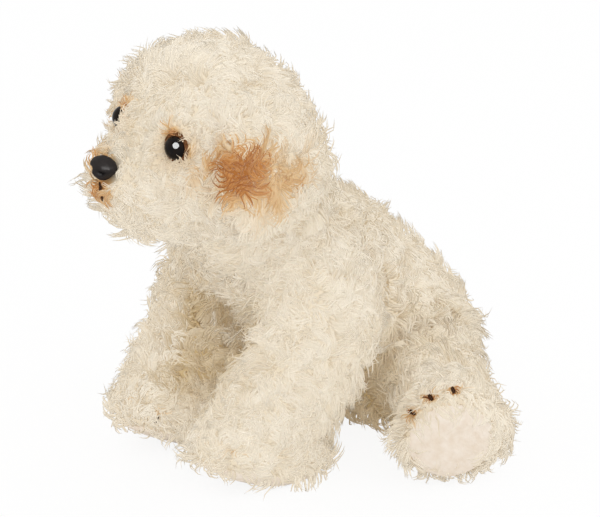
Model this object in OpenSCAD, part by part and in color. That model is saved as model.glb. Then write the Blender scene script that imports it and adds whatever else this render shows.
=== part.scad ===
// A sitting plush puppy: pile-fabric covers over fibre stuffing, with sewn-on limbs that turn at their seams.
// Millimetres, +Z up, the muzzle points along -Y, the puppy's left side is +X.
// The origin is the middle of the flat seat.

/* [Covers] */
// Thickness of the pile fabric, backing and pile together
pile = 7; // [6.5:0.5:7.5]
// Thickness of the plain lining where two covers meet at a joint
lining = 3; // [2.5:0.5:3.5]
// Clear gap between covers that turn on each other
joint_gap = 0.5; // [0.4:0.1:0.8]

/* [Torso] */
// Half width across the hips
torso_half_w = 62; // [61:0.5:63]
// Height of the torso up to the nape
torso_h = 166; // [165:0.5:167]

/* [Head] */
// Radius of the skull
skull_r = 64; // [63.5:0.5:65]
// Height of the skull's centre above the floor
head_z = 206; // [205:0.5:208]
// Skull's centre in front of the seat's middle
head_reach = 142; // [141:0.5:143]
// Turn of the head towards the right shoulder, degrees
head_yaw = 2; // [0:1:6]
// Tilt of the head towards the left shoulder, degrees
head_tilt = 5; // [3:1:7]
// Radius of the stuffed neck
neck_r = 37; // [36.5:0.5:37.5]

/* [Face] */
// Diameter of an eye's dome
eye_d = 14; // [12:0.5:15]
// Diameter of the felt rim behind an eye
rim_d = 18; // [16:0.5:19]
// Diameter of a shank behind an eye or the nose
shank_d = 4.5; // [4:0.5:5]
// Length of a shank
shank_l = 16; // [15:0.5:17]
// Diameter of a fixing washer
washer_d = 15; // [13:0.5:16]
// Width of the nose
nose_w = 20; // [18:0.5:21]

/* [Ears] */
// Length of an ear flap
ear_l = 72; // [70:1:74]
// Half width of an ear flap
ear_half_w = 28; // [26:1:29]

/* [Legs] */
// Distance of a front foot's middle from the midline
front_foot_x = 38.5; // [38.5:0.5:40]
// Height of the shoulder joint
shoulder_z = 112; // [111:0.5:113]
// Distance of the shoulder seam from the midline
shoulder_x = 30; // [29.5:0.5:30.5]
// Radius of the thigh's round end
thigh_r = 38; // [37.5:0.5:38.5]
// Turn of a hind leg out from straight ahead, degrees
hind_splay = 62; // [61:0.5:63]
// Length of a hind leg from the hip to the sole
hind_l = 81; // [79:0.5:83]
// Thickness of a sole pad
sole_t = 3; // [2.5:0.5:3.5]
// Thickness of the claw and mouth thread
thread_d = 2; // [1.6:0.2:2.4]

/* [Tail] */
// Length of the tail
tail_l = 60; // [56:1:64]

/* [Smoothness] */
// Points around a large form
around = 24; // [22:2:26]
// Points around a limb
limb_around = 18; // [18:2:20]
// Points around a form's inner face
inner_around = 16; // [16:2:18]

/* [Hidden] */
cream = [0.93, 0.89, 0.80];
fibre = [0.97, 0.97, 0.95];
velour = [0.92, 0.87, 0.80];
apricot = [0.80, 0.55, 0.30];
brown = [0.34, 0.20, 0.12];
black = [0.04, 0.04, 0.05];
white = [0.95, 0.95, 0.95];
canvas = [0.86, 0.82, 0.72];
fine = 36;
thread_fine = 14;
fit = 0.05;
far = 400;

skull = [0, -head_reach, head_z];
neck = [0, -head_reach + 34, head_z - 47];
shoulder = [shoulder_x, -88, shoulder_z];
shoulder_r = 44;
hip = [56, -8, thigh_r + 4];
hip_foot_r = 26;
hip_turns = [-10, 10];
hip_slack = 2.6;
hip_swing = 8;
hip_rows_in_torso = 6;
tail_root = [-8, 55, 26];
tail_ball_r = 16;
tail_turn = 30;

// Torso rows are [share of the height, front, back, share of the half width]
torso_rows = [
  [0.000, -44, 44, 0.80],
  [0.060, -52, 53, 0.92],
  [0.180, -58, 60, 1.00],
  [0.300, -62, 61, 1.01],
  [0.420, -75, 55, 0.97],
  [0.540, -106, 41, 0.90],
  [0.660, -128, 22, 0.85],
  [0.780, -134, 0, 0.80],
  [0.890, -118, -20, 0.73],
  [0.950, -98, -36, 0.60]
];
torso_form = [for (r = torso_rows)
  [r[0] * torso_h, 0, (r[1] + r[2]) / 2, r[3] * torso_half_w, (r[2] - r[1]) / 2]];
torso_back = [for (r = torso_rows) [r[0] * torso_h, r[2]]];

// Head rows are [forward, top, bottom, half width] in skull radii
head_rows = [
  [-0.78, 0.70, -0.62, 0.70],
  [-0.40, 0.96, -0.88, 0.96],
  [0.00, 1.04, -0.96, 1.02],
  [0.36, 0.96, -0.95, 0.93],
  [0.60, 0.73, -0.91, 0.72],
  [0.78, 0.40, -0.85, 0.58],
  [0.92, 0.18, -0.76, 0.50],
  [1.04, 0.05, -0.65, 0.45],
  [1.12, -0.05, -0.54, 0.37]
];
head_form = [for (r = head_rows)
  skull_r * [r[0], 0, (r[1] + r[2]) / 2, r[3], (r[1] - r[2]) / 2]];

// Front leg rows are [height, middle x, middle y, half width, half depth]
front_rows = [
  [sole_t, front_foot_x + 1, -121, 28, 29],
  [11, front_foot_x + 1, -128, 35, 40],
  [26, front_foot_x + 1.5, -137, 37, 49],
  [43, front_foot_x + 3, -130, 37, 45],
  [64, front_foot_x + 6, -116, 37, 42],
  [88, front_foot_x + 9, -103, 37, 40],
  [112, front_foot_x + 10, -94, 35, 38],
  [132, front_foot_x + 9, -90, 27, 30]
];

// Hind leg rows are [out from the hip, sideways, middle height, half width, half height]
hind_rows = [
  [-24, 0, hip[2], 28, 28],
  [-10, 0, hip[2], 35.5, 35.5],
  [3, 0, hip[2], 37.5, 37.5],
  [18, 0, hip[2], 40, 39],
  [36, 0, 37, 41, 38],
  [54, -1, 32, 42, 38],
  [69, -2, 30, 42, 37],
  [hind_l - sole_t, -1, 30, 37, 31]
];
hind_pad_rows = [
  [hind_l - sole_t, -8, 29, 27.5, 24.5],
  [hind_l - 1, -8, 29, 26.5, 23.5]
];

front_pad_rows = [
  [0, front_foot_x + 1, -121, 25, 26],
  [sole_t, front_foot_x + 1, -121, 27, 28]
];

tail_rows = [
  [-7, 0, 0, 11, 11],
  [6, 0, 0, 12.5, 12.5],
  [0.45 * tail_l, 1, 0, 12.5, 12.5],
  [0.75 * tail_l, 3, 0, 11, 11],
  [0.90 * tail_l, 5, 0, 8, 8]
];

// Ear rows are [down from the top edge, outwards, fore and aft, half thickness, half width]
ear_rows = [
  [2, 2.6, 0, 2.6, 0.55 * ear_half_w],
  [0.18 * ear_l, 8.8, 0, 3.6, 0.86 * ear_half_w],
  [0.40 * ear_l, 12.6, 0, 4.2, 1.00 * ear_half_w],
  [0.62 * ear_l, 12.8, 0, 4.2, 1.00 * ear_half_w],
  [0.82 * ear_l, 11.6, 0, 3.8, 0.84 * ear_half_w],
  [0.94 * ear_l, 10.0, 0, 3.0, 0.56 * ear_half_w]
];
ear_lining_rows = [for (i = [1:len(ear_rows) - 1]) let (r = ear_rows[i])
  [r[0], r[1] - 0.6 * r[3], 0, 0.5 * r[3], 0.78 * r[4]]];
ear_top = [0.906 * skull_r, 0, 36];

// Nose rows are [forward, sideways, middle height, half width, half height]
nose_rows = [
  [0, 0, 0, 0.42 * nose_w, 6.6],
  [3, 0, 0.3, 0.50 * nose_w, 8.0],
  [6.5, 0, 0.2, 0.47 * nose_w, 7.4],
  [9, 0, 0, 0.36 * nose_w, 5.6]
];
nose_at = [0, -1.06 * skull_r, -6];
nose_lift = 8;
mouth_top = [0, -1.185 * skull_r, -15.5];
mouth_low = [0, -1.155 * skull_r, -27];

eye_at = [0.445 * skull_r, -0.65 * skull_r, 11.2];
eye_turn = 15;
eye_lift = 6;
eye_h = 5;
eye_base = 1;
rim_t = 1.2;
washer_t = 1.4;
washer_back = 11;
eye_bulge_r = (pow(eye_d / 2, 2) + eye_h * eye_h) / (2 * eye_h);

claw_places = [-1, 0, 1];
claw_share = 0.45;
front_claw_mid = -90;
front_claw_step = 42;
hind_claw_mid = 121;
hind_claw_step = 24;
bag_at = [0, 12, 21];
bag_h = 11;
bag_r = 20;
bag_bulge_r = (bag_r * bag_r + bag_h * bag_h) / (2 * bag_h);
seam_low = 78;
seam_high = 110;
seam_step = 8;
seam_half = 4;
seam_d = 1.6;

hind_out = [sin(hind_splay), -cos(hind_splay), 0];
hind_side = [cos(hind_splay), sin(hind_splay), 0];
tail_out = [-sin(tail_turn), cos(tail_turn), 0];
tail_side = [-cos(tail_turn), -sin(tail_turn), 0];

upright = [[0, 0, 0], [1, 0, 0], [0, 1, 0], [0, 0, 1]];
forward = [[0, 0, 0], [1, 0, 0], [0, 0, 1], [0, -1, 0]];
hind_frame = [[hip[0], hip[1], 0], hind_side, [0, 0, 1], hind_out];
tail_frame = [tail_root, tail_side, [0, 0, 1], tail_out];
ear_frame = [ear_top, [1, 0, 0], [0, -1, 0], [0, 0, -1]];

// A smooth curve through rows i and i + 1
function between(p, i, t) =
  let (a = p[max(i - 1, 0)])
  let (b = p[i])
  let (c = p[i + 1])
  let (d = p[min(i + 2, len(p) - 1)])
  0.5 * (2 * b + (c - a) * t + (2 * a - 5 * b + 4 * c - d) * t * t + (3 * b - a - 3 * c + d) * t * t * t);

function curve(p, n) = [
  for (i = [0:len(p) - 2]) for (k = [0:n - 1]) between(p, i, k / n),
  p[len(p) - 1]
];

// The same rows, drawn in by a thickness all round
function drawn_in(p, t, low, high) = [
  for (i = [0:len(p) - 1])
    let (shift = i == 0 ? low : i == len(p) - 1 ? -high : 0)
    [p[i][0] + shift, p[i][1], p[i][2], p[i][3] - t, p[i][4] - t]
];

function cap_ring(r, depth, a) =
  [r[0] + depth * sin(a), r[1], r[2], r[3] * cos(a), r[4] * cos(a)];

function capped(p, low, high) = concat(
  low > 0 ? [for (a = [66, 34]) cap_ring(p[0], -low, a)] : [],
  p,
  high > 0 ? [for (a = [34, 66]) cap_ring(p[len(p) - 1], high, a)] : []
);

function in_frame(f, u, v, w) = f[0] + u * f[1] + v * f[2] + w * f[3];

function ring_point(f, r, a) = in_frame(f, r[1] + r[3] * cos(a), r[2] + r[4] * sin(a), r[0]);

function ring_points(f, r, n) = [for (j = [0:n - 1]) ring_point(f, r, 360 * j / n)];

function ring_faces(m, n) = [
  for (j = [0:n - 1]) [0, 1 + j, 1 + (j + 1) % n],
  for (i = [0:m - 2]) for (j = [0:n - 1])
    let (a = 1 + i * n + j)
    let (b = 1 + i * n + (j + 1) % n)
    each [[a, a + n, b], [b, a + n, b + n]],
  for (j = [0:n - 1]) [m * n + 1, (m - 1) * n + 1 + (j + 1) % n, (m - 1) * n + 1 + j]
];

// A closed stuffed form through the rows, domed or flat at either end
module stuffed(rows, f, n, steps, low, high) {
  first = rows[0];
  last = rows[len(rows) - 1];
  rings = capped(curve(rows, steps), low, high);
  points = [
    in_frame(f, first[1], first[2], first[0] - low),
    for (r = rings) each ring_points(f, r, n),
    in_frame(f, last[1], last[2], last[0] + high)
  ];
  polyhedron(points, ring_faces(len(rings), n));
}

// A length of thread with round ends
module thread(from, to, d) {
  way = to - from;
  length = norm(way);
  translate(from) rotate([0, acos(way[2] / length), atan2(way[1], way[0])]) {
    cylinder(d = d, h = length, $fn = thread_fine);
    sphere(d = d, $fn = thread_fine);
    translate([0, 0, length]) sphere(d = d, $fn = thread_fine);
  }
}

module mirrored() {
  mirror([1, 0, 0]) children();
}

module on_head() {
  translate(skull) rotate([0, 0, -head_yaw]) rotate([0, head_tilt, 0]) children();
}

module above(level) {
  intersection() {
    children();
    translate([-far, -far, level]) cube([2 * far, 2 * far, far]);
  }
}

module thigh_socket(gap) {
  translate(hip) sphere(r = thigh_r + gap, $fn = fine);
  translate([hip[0], hip[1], -far]) cylinder(r = hip_foot_r + gap, h = far + hip[2] / 2, $fn = fine);
}

// The space that a hind leg sweeps as it turns about the hip
module hip_room(gap, turns, slack) {
  thigh_socket(gap);
  grown = drawn_in([for (i = [0:hip_rows_in_torso - 1]) hind_rows[i]], -gap - slack, 0, 0);
  for (turn = turns)
    translate(hip) rotate([0, 0, turn]) translate(-hip)
      stuffed(grown, hind_frame, inner_around, 1, 12, 0);
}

module shoulder_socket(gap) {
  translate([shoulder_x - gap, shoulder[1], shoulder[2]]) rotate([0, 90, 0])
    cylinder(r = shoulder_r + gap, h = far, $fn = fine);
}

module shoulder_seam(gap) {
  translate([-far + shoulder_x + gap, shoulder[1], shoulder[2]]) rotate([0, 90, 0])
    cylinder(r = shoulder_r + lining + gap, h = far, $fn = fine);
}

module neck_socket(gap) {
  translate(neck) sphere(r = neck_r + gap, $fn = fine);
}

module tail_socket(gap) {
  translate(tail_root) sphere(r = tail_ball_r + gap, $fn = fine);
}

module torso_joints(gap, turns, slack) {
  neck_socket(gap);
  tail_socket(gap);
  hip_room(gap, turns, slack);
  mirrored() hip_room(gap, turns, slack);
  shoulder_socket(gap);
  mirrored() shoulder_socket(gap);
}

module torso_inside() {
  difference() {
    stuffed(drawn_in(torso_form, pile, pile, 0), upright, inner_around, 1, 0, 2);
    torso_joints(joint_gap + lining, [0], hip_swing);
  }
}

module torso_cover() {
  color(cream) difference() {
    stuffed(torso_form, upright, around, 2, 0, torso_h * 0.05);
    torso_joints(joint_gap, hip_turns, hip_slack);
    torso_inside();
  }
}

module bag_form(gap) {
  intersection() {
    translate(bag_at + [0, 0, bag_h - bag_bulge_r]) sphere(r = bag_bulge_r + gap, $fn = fine);
    translate(bag_at + [0, 0, bag_bulge_r - bag_h]) sphere(r = bag_bulge_r + gap, $fn = fine);
  }
}

module torso_stuffing() {
  color(fibre) difference() {
    torso_inside();
    bag_form(fit);
  }
}

module bean_bag() {
  color(canvas) bag_form(0);
}

module closing_seam() {
  color(cream) for (z = [seam_low:seam_step:seam_high])
    thread([-seam_half, lookup(z, torso_back), z], [seam_half, lookup(z, torso_back), z], seam_d);
}

module neck_wad() {
  color(fibre) translate(neck) sphere(r = neck_r, $fn = fine);
}

// The eye's own frame: its shank runs back along -Z
module at_eye() {
  translate(eye_at) rotate([0, 0, eye_turn]) rotate([90 - eye_lift, 0, 0]) children();
}

module at_nose() {
  translate(nose_at) rotate([90 - nose_lift, 0, 0]) children();
}

module eye_form() {
  intersection() {
    translate([0, 0, eye_base + eye_h - eye_bulge_r]) sphere(r = eye_bulge_r, $fn = fine);
    cylinder(d = eye_d, h = eye_base + eye_h + 1, $fn = fine);
  }
  cylinder(d = eye_d, h = eye_base, $fn = fine);
  translate([0, 0, -shank_l]) cylinder(d = shank_d, h = shank_l, $fn = fine);
}

module rim_form() {
  translate([0, 0, -rim_t]) difference() {
    cylinder(d = rim_d, h = rim_t, $fn = fine);
    translate([0, 0, -1]) cylinder(d = shank_d + 2 * fit, h = rim_t + 2, $fn = fine);
  }
}

module washer_form() {
  translate([0, 0, -washer_back - washer_t]) difference() {
    cylinder(d = washer_d, h = washer_t, $fn = fine);
    translate([0, 0, -1]) cylinder(d = shank_d + 2 * fit, h = washer_t + 2, $fn = fine);
  }
}

module shank_hole() {
  translate([0, 0, -shank_l - 1]) cylinder(d = shank_d + 2 * fit, h = shank_l + 2, $fn = fine);
}

module washer_pocket() {
  translate([0, 0, -washer_back - washer_t - 0.2])
    cylinder(d = washer_d + 0.4, h = washer_t + 0.4, $fn = fine);
}

module eye_socket() {
  translate([0, 0, -rim_t - fit]) cylinder(d = rim_d + 0.4, h = shank_l, $fn = fine);
  shank_hole();
  washer_pocket();
}

module nose_form(gap, reach) {
  grown = [for (r = nose_rows) [r[0], r[1], r[2], r[3] + gap, r[4] + gap]];
  stuffed(grown, upright, limb_around, 1, gap, 2 + reach);
}

module nose_socket() {
  nose_form(0.3, 3);
  shank_hole();
  washer_pocket();
}

module face_holes() {
  at_eye() eye_socket();
  mirrored() at_eye() eye_socket();
  at_nose() nose_socket();
}

module head_inside() {
  difference() {
    on_head() stuffed(drawn_in(head_form, pile, 0, 0), forward, inner_around, 1, skull_r * 0.12, 1);
    neck_socket(joint_gap + lining);
  }
}

module head_cover() {
  color(cream) difference() {
    on_head() stuffed(head_form, forward, around, 2, skull_r * 0.24, skull_r * 0.08);
    neck_socket(joint_gap);
    head_inside();
    on_head() face_holes();
  }
}

module head_stuffing() {
  color(fibre) difference() {
    head_inside();
    on_head() face_holes();
  }
}

module left_eye() {
  color(black) on_head() at_eye() eye_form();
}

module right_eye() {
  color(black) on_head() mirrored() at_eye() eye_form();
}

module left_eye_rim() {
  color(brown) on_head() at_eye() rim_form();
}

module right_eye_rim() {
  color(brown) on_head() mirrored() at_eye() rim_form();
}

module left_eye_washer() {
  color(white) on_head() at_eye() washer_form();
}

module right_eye_washer() {
  color(white) on_head() mirrored() at_eye() washer_form();
}

module nose() {
  color(black) on_head() at_nose() {
    nose_form(0, 0);
    translate([0, 0, -shank_l]) cylinder(d = shank_d, h = shank_l + 2, $fn = fine);
  }
}

module nose_washer() {
  color(white) on_head() at_nose() washer_form();
}

module mouth_stitch() {
  color(brown) on_head() thread(mouth_top, mouth_low, thread_d);
}

module ear_flap() {
  difference() {
    stuffed(ear_rows, ear_frame, limb_around, 1, 2, 4);
    ear_lining_form();
  }
}

module ear_lining_form() {
  stuffed(ear_lining_rows, ear_frame, inner_around, 1, 0, 1.5);
}

module left_ear() {
  color(apricot) on_head() ear_flap();
}

module right_ear() {
  color(apricot) on_head() mirrored() ear_flap();
}

module left_ear_lining() {
  color(velour) on_head() ear_lining_form();
}

module right_ear_lining() {
  color(velour) on_head() mirrored() ear_lining_form();
}

module front_leg_inside() {
  difference() {
    stuffed(drawn_in(front_rows, pile, pile, 0), upright, inner_around, 1, 0, 5);
    shoulder_seam(joint_gap + lining);
    neck_socket(3 * lining);
  }
}

module front_left_leg_cover() {
  color(cream) difference() {
    stuffed(front_rows, upright, limb_around, 2, 0, 12);
    shoulder_seam(joint_gap);
    neck_socket(2 * lining);
    front_leg_inside();
  }
}

module front_right_leg_cover() {
  mirrored() front_left_leg_cover();
}

module front_left_leg_stuffing() {
  color(fibre) front_leg_inside();
}

module front_right_leg_stuffing() {
  mirrored() front_left_leg_stuffing();
}

module front_left_sole() {
  color(velour) stuffed(front_pad_rows, upright, limb_around, 1, 0, 0);
}

module front_right_sole() {
  mirrored() front_left_sole();
}

// Short stitches on a limb, from one row towards the next
module claws(f, from, to, mid, step) {
  for (i = claw_places) {
    start = ring_point(f, from, mid + i * step);
    end = ring_point(f, to, mid + i * step);
    thread(start, start + claw_share * (end - start), thread_d);
  }
}

module front_left_claws() {
  color(brown) claws(upright, front_rows[2], front_rows[3], front_claw_mid, front_claw_step);
}

module front_right_claws() {
  mirrored() front_left_claws();
}

module hind_leg_inside() {
  above(lining) stuffed(drawn_in(hind_rows, pile, 2, lining), hind_frame, inner_around, 1, 6, 0);
}

module hind_left_leg_cover() {
  color(cream) difference() {
    above(0) stuffed(hind_rows, hind_frame, limb_around, 2, 12, 0);
    hind_leg_inside();
  }
}

module hind_right_leg_cover() {
  mirrored() hind_left_leg_cover();
}

module hind_left_leg_stuffing() {
  color(fibre) hind_leg_inside();
}

module hind_right_leg_stuffing() {
  mirrored() hind_left_leg_stuffing();
}

module hind_left_sole() {
  color(velour) stuffed(hind_pad_rows, hind_frame, limb_around, 1, 0, 1);
}

module hind_right_sole() {
  mirrored() hind_left_sole();
}

module hind_left_claws() {
  heel = hind_rows[len(hind_rows) - 1];
  toe = hind_rows[len(hind_rows) - 2];
  color(brown) claws(hind_frame, heel, toe, hind_claw_mid, hind_claw_step);
}

module hind_right_claws() {
  mirrored() hind_left_claws();
}

module tail_inside() {
  stuffed(drawn_in(tail_rows, 0.55 * pile, 2, 2), tail_frame, inner_around, 1, 3, 2);
}

module tail_cover() {
  color(cream) difference() {
    stuffed(tail_rows, tail_frame, limb_around, 1, 6, 6);
    tail_inside();
  }
}

module tail_stuffing() {
  color(fibre) tail_inside();
}

torso_cover();
torso_stuffing();
bean_bag();
closing_seam();
neck_wad();
head_cover();
head_stuffing();
left_eye();
right_eye();
left_eye_rim();
right_eye_rim();
left_eye_washer();
right_eye_washer();
nose();
nose_washer();
mouth_stitch();
left_ear();
right_ear();
left_ear_lining();
right_ear_lining();
front_left_leg_cover();
front_right_leg_cover();
front_left_leg_stuffing();
front_right_leg_stuffing();
front_left_sole();
front_right_sole();
front_left_claws();
front_right_claws();
hind_left_leg_cover();
hind_right_leg_cover();
hind_left_leg_stuffing();
hind_right_leg_stuffing();
hind_left_sole();
hind_right_sole();
hind_left_claws();
hind_right_claws();
tail_cover();
tail_stuffing();
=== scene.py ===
import math

import bmesh
import bpy
import numpy as np
from mathutils import Matrix, Vector, kdtree, noise


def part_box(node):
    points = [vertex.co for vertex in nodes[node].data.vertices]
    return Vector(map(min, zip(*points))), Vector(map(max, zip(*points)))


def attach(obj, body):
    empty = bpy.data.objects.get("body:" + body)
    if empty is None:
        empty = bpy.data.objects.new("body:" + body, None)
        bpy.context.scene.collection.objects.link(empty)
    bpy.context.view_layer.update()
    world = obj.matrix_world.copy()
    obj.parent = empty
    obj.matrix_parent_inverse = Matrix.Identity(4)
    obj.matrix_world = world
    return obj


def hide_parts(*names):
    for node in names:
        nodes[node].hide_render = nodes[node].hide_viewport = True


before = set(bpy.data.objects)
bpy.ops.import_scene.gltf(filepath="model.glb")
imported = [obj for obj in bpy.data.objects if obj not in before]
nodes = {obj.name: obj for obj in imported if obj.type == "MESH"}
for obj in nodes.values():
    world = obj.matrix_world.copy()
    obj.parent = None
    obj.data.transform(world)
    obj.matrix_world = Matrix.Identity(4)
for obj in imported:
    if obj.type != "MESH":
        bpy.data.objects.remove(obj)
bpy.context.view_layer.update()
scene = bpy.context.scene
sides = {"left": 1.0, "right": -1.0}  # and which way each lies across the head
legs = [(end, side) for end in ("front", "hind") for side in sides]
print("frame loaded:", len(nodes), "nodes")


def linked(name, data):
    piece = bpy.data.objects.new(name, data)
    scene.collection.objects.link(piece)
    return piece


# camera at the photo's angle
viewSetup = {
    "azimuth": 52.0,  # degrees
    "elevation": 19.0,  # degrees
    "distance": 1.7,  # metres
    "lens": 164.5,  # mm
    "sensor": 36.0,  # mm
    "target": (0.0, -0.06, 0.13),
    "slideRight": -0.0093,  # framing, along the picture's own axes
    "slideUp": -0.0158,
}


def aimCamera(setup):
    turn, lift = math.radians(setup["azimuth"]), math.radians(setup["elevation"])
    back = Vector((math.sin(turn) * math.cos(lift), -math.cos(turn) * math.cos(lift), math.sin(lift)))
    right = Vector((math.cos(turn), math.sin(turn), 0.0))
    up = back.cross(right)
    target = Vector(setup["target"]) + right * setup["slideRight"] + up * setup["slideUp"]
    place = target + back * setup["distance"]
    camera = linked("camera", bpy.data.cameras.new("camera"))
    camera.data.sensor_width = setup["sensor"]
    camera.data.lens = setup["lens"]
    camera.matrix_world = Matrix.Translation(place) @ Matrix((right, up, back)).transposed().to_4x4()
    scene.camera = camera
    return right, up, back


pictureRight, pictureUp, towardsCamera = aimCamera(viewSetup)
scene.view_settings.view_transform = "Standard"


# node tree helpers
def feed(socket, value):
    if isinstance(value, bpy.types.Node):  # a node stands for its first output
        value = value.outputs[0]
    if isinstance(value, bpy.types.NodeSocket):
        socket.id_data.links.new(value, socket)
    else:
        socket.default_value = value


def addNode(tree, kind, inputs=None, **settings):
    node = tree.nodes.new(kind)
    for name, value in settings.items():
        setattr(node, name, value)
    for socket, value in (inputs or {}).items():
        feed(node.inputs[socket], value)
    return node


def treeOf(values):
    return next(value.id_data for value in values if isinstance(value, bpy.types.NodeSocket))


def number(operation, *values):
    return addNode(treeOf(values), "ShaderNodeMath", dict(enumerate(values)), operation=operation).outputs[0]


def vector(operation, *values):
    node = addNode(treeOf(values), "ShaderNodeVectorMath", dict(enumerate(values)), operation=operation)
    return node.outputs["Value" if operation == "DOT_PRODUCT" else "Vector"]


def scaled(value, factor):
    node = addNode(value.id_data, "ShaderNodeVectorMath", {0: value, "Scale": factor}, operation="SCALE")
    return node.outputs["Vector"]


def chained(combine, operation, first, *others):
    for other in others:
        first = combine(operation, first, other)
    return first


def summed(*vectors):
    return chained(vector, "ADD", *vectors)


def total(*numbers):
    return chained(number, "ADD", *numbers)


def product(*numbers):
    return chained(number, "MULTIPLY", *numbers)


def mapped(value, factor, start):
    return number("MULTIPLY_ADD", value, factor, start)


def limited(value):
    return number("MINIMUM", number("MAXIMUM", value, 0.0), 1.0)


# studio
studio = {
    "worldStrength": 1.045,
    "lamps": {  # place to the right, up and towards the camera, size, power
        "keyLamp": ((-0.35, 0.55, 1.5), 0.35, 0.8),
        "fillLamp": ((0.9, 0.75, 1.3), 1.6, 1.4),
        "catchLamp": ((-0.3, 0.42, 1.5), 1.55, 620.0),  # shows only as the glint on the eyes and the nose
    },
    "floorColour": (0.92, 0.92, 0.92, 1.0),
    "floorHalf": 6.0,
    "floorWhite": 0.88,  # share of plain white in what the camera sees of the floor
}


def shownRays(tree):
    ray = addNode(tree, "ShaderNodeLightPath").outputs
    return chained(number, "MAXIMUM", ray["Is Camera Ray"], ray["Is Glossy Ray"], ray["Is Transmission Ray"])


def endShader(tree, kind, share, lit, shown):
    mix = addNode(tree, "ShaderNodeMixShader", {"Fac": share, 1: lit, 2: shown})
    addNode(tree, kind, {"Surface": mix})


def makeWorld(setup):
    world = bpy.data.worlds.new("studio")
    scene.world = world
    world.use_nodes = True
    tree = world.node_tree
    tree.nodes.clear()
    light, seen = (addNode(tree, "ShaderNodeBackground", {"Color": (1.0, 1.0, 1.0, 1.0), "Strength": strength})
                   for strength in (setup["worldStrength"], 1.0))
    endShader(tree, "ShaderNodeOutputWorld", shownRays(tree), light, seen)


def addLamp(name, place, size, power):
    middle = Vector(viewSetup["target"])
    lamp = linked(name, bpy.data.lights.new(name, "AREA"))
    lamp.data.shape = "DISK"
    lamp.data.size = size
    lamp.data.energy = power
    lamp.location = middle + pictureRight * place[0] + pictureUp * place[1] + towardsCamera * place[2]
    lamp.rotation_euler = (middle - lamp.location).to_track_quat("-Z", "Y").to_euler()
    return lamp


def makeFloor(setup):
    half = setup["floorHalf"]
    mesh = bpy.data.meshes.new("floor")
    mesh.from_pydata([(-half, -half, 0), (half, -half, 0), (half, half, 0), (-half, half, 0)], [], [(0, 1, 2, 3)])
    floor = linked("floor", mesh)
    material = bpy.data.materials.new("paleFloor")
    material.use_nodes = True
    tree = material.node_tree
    tree.nodes.clear()
    matt = addNode(tree, "ShaderNodeBsdfDiffuse", {"Color": setup["floorColour"]})
    glow = addNode(tree, "ShaderNodeEmission", {"Strength": 1.0})
    endShader(tree, "ShaderNodeOutputMaterial", product(shownRays(tree), setup["floorWhite"]), matt, glow)
    mesh.materials.append(material)


makeWorld(studio)
lamps = {name: addLamp(name, *setup) for name, setup in studio["lamps"].items()}
lamps["catchLamp"].visible_diffuse = False
makeFloor(studio)
print("studio ready")


# materials
def newMaterial(name, finish):
    material = bpy.data.materials.new(name)
    material.use_nodes = True
    shader = material.node_tree.nodes["Principled BSDF"].inputs
    for socket, value in zip(("Roughness", "Specular IOR Level", "Sheen Weight", "Sheen Roughness"), finish):
        shader[socket].default_value = value
    return material, material.node_tree, shader


def addRamp(factor, *stops):
    ramp = addNode(factor.id_data, "ShaderNodeValToRGB", {"Fac": factor})
    while len(ramp.color_ramp.elements) < len(stops):
        ramp.color_ramp.elements.new(1.0)
    for element, (place, colour) in zip(ramp.color_ramp.elements, stops):
        element.position = place
        element.color = (*colour, 1.0)
    return ramp.outputs["Color"]


def addNoise(tree, scale, detail):
    place = addNode(tree, "ShaderNodeTexCoord").outputs["Object"]
    return addNode(tree, "ShaderNodeTexNoise", {"Vector": place, "Scale": scale, "Detail": detail}).outputs["Fac"]


def addBump(shader, height, strength, distance):
    bump = addNode(height.id_data, "ShaderNodeBump", {"Strength": strength, "Distance": distance, "Height": height})
    feed(shader["Normal"], bump)


def readAttribute(tree, name):
    return addNode(tree, "ShaderNodeAttribute", attribute_name=name).outputs["Fac"]


plush = {
    "ramp": [  # share of tint, colour
        (0.0, (0.93, 0.845, 0.705)),
        (0.3, (0.8, 0.56, 0.31)),
        (0.6, (0.6, 0.275, 0.09)),
        (0.82, (0.36, 0.12, 0.032)),
        (1.0, (0.05, 0.022, 0.012)),
    ],
    # colour of the painted shade: in creases, under the belly, between the legs, at the hairs' roots and at the rims
    # of the locks
    "paintedShade": (0.62, 0.5, 0.3),
    # the crest, where no shade is painted
    "crest": (1.0, 1.0, 1.0),
    "backingShade": 0.66,  # painted shade of the backing deep in the pile: share of the way from the painted-shade colour to the crest
    "pileFinish": (0.72, 0.0, 0.2),  # roughness, specular, sheen and its roughness
    "backingFinish": (0.9, 0.0),
}


def makePlush(name, toneName, low, high, finish):
    material, tree, shader = newMaterial(name, finish)
    # base colour: the dye's tint times a ramp of painted shade, with random tone on the hairs
    mix = addNode(tree, "ShaderNodeMix", {
        "Factor": 1.0,
        6: addRamp(readAttribute(tree, "tint"), *plush["ramp"]),
        7: addRamp(readAttribute(tree, toneName), (0.0, low), (1.0, high)),
    }, data_type="RGBA", blend_type="MULTIPLY")
    feed(shader["Base Color"], mix.outputs[2])
    return material


def makeMottled(name, look):
    material, tree, shader = newMaterial(name, look["finish"])
    low, high = look.get("stops", (0.3, 0.7))
    feed(shader["Base Color"], addRamp(addNoise(tree, *look["cloud"]), (low, look["deep"]), (high, look["pale"])))
    if "nap" in look:
        addBump(shader, addNoise(tree, *look["nap"]), *look["bump"])
    return material


def makeBanded(name, look, deep, pale):
    material, tree, shader = newMaterial(name, look["finish"])
    place = addNode(tree, "ShaderNodeTexCoord").outputs["Object"]
    wave = {"Vector": place, "Scale": look["scale"], "Distortion": look["distortion"]}
    height = product(*(
        addNode(tree, "ShaderNodeTexWave", wave, wave_type="BANDS", bands_direction=direction).outputs["Fac"]
        for direction in look["directions"]))
    low, high = look["stops"]
    feed(shader["Base Color"], addRamp(height, (low, deep), (high, pale)))
    addBump(shader, height, *look["bump"])
    return material


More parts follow.
